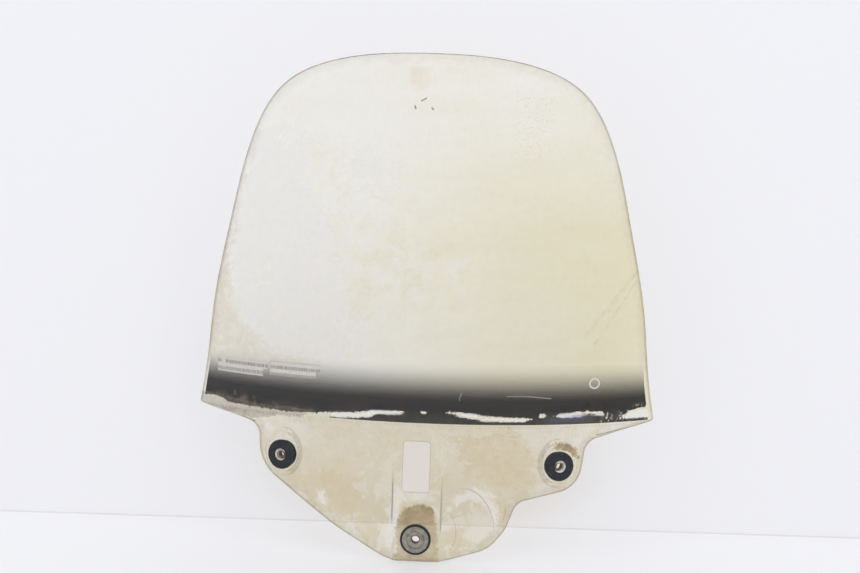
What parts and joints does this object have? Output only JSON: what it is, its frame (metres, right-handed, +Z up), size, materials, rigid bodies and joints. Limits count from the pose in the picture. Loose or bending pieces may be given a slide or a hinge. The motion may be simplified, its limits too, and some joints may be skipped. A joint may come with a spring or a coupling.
{
  "type": "windshield screen",
  "caption": "Curved clear windshield screen with a dark fade band above a fold, and a lower flange with rubber grommets, metal spacer inserts and a rectangular window.",
  "frame": {"origin": "on the axis of the lower screw hole, level with the curved flange's front face at its middle", "axes": "+Z up along the screen, -Y out of the convex front towards the oncoming air, +X to the right as seen from the front"},
  "size_m": [0.5226, 0.1003, 0.5575],
  "materials": {
    "clear_sheet": "clear moulded plastic, yellowed with age",
    "dark_ink": "printed fade seen through the sheet",
    "pale_print": "flat print",
    "rubber": "matte moulded rubber",
    "insert_metal": "dull zinc plate",
    "collar_metal": "dull weathered zinc plate"
  },
  "bodies": {
    "screen": {"screen": "clear_sheet", "fade_band": "dark_ink", "care_label_left": "pale_print", "care_label_right": "pale_print", "round_mark": "pale_print", "grommet_left": "rubber", "grommet_right": "rubber", "grommet_lower": "rubber"},
    "sleeve_left": {"sleeve_left": "insert_metal"},
    "sleeve_right": {"sleeve_right": "insert_metal"},
    "collar_lower": {"collar_lower": "collar_metal"}
  },
  "joints": [
    {"name": "left_sleeve_draw", "type": "slide", "parent": "screen", "child": "sleeve_left", "axis": [-0.3825, -0.924, 0], "range_m": [0, 0.016]},
    {"name": "right_sleeve_draw", "type": "slide", "parent": "screen", "child": "sleeve_right", "axis": [0.3825, -0.924, 0], "range_m": [0, 0.016]},
    {"name": "lower_collar_draw", "type": "slide", "parent": "screen", "child": "collar_lower", "axis": [0, -1, 0], "range_m": [0, 0.016]}
  ]
}
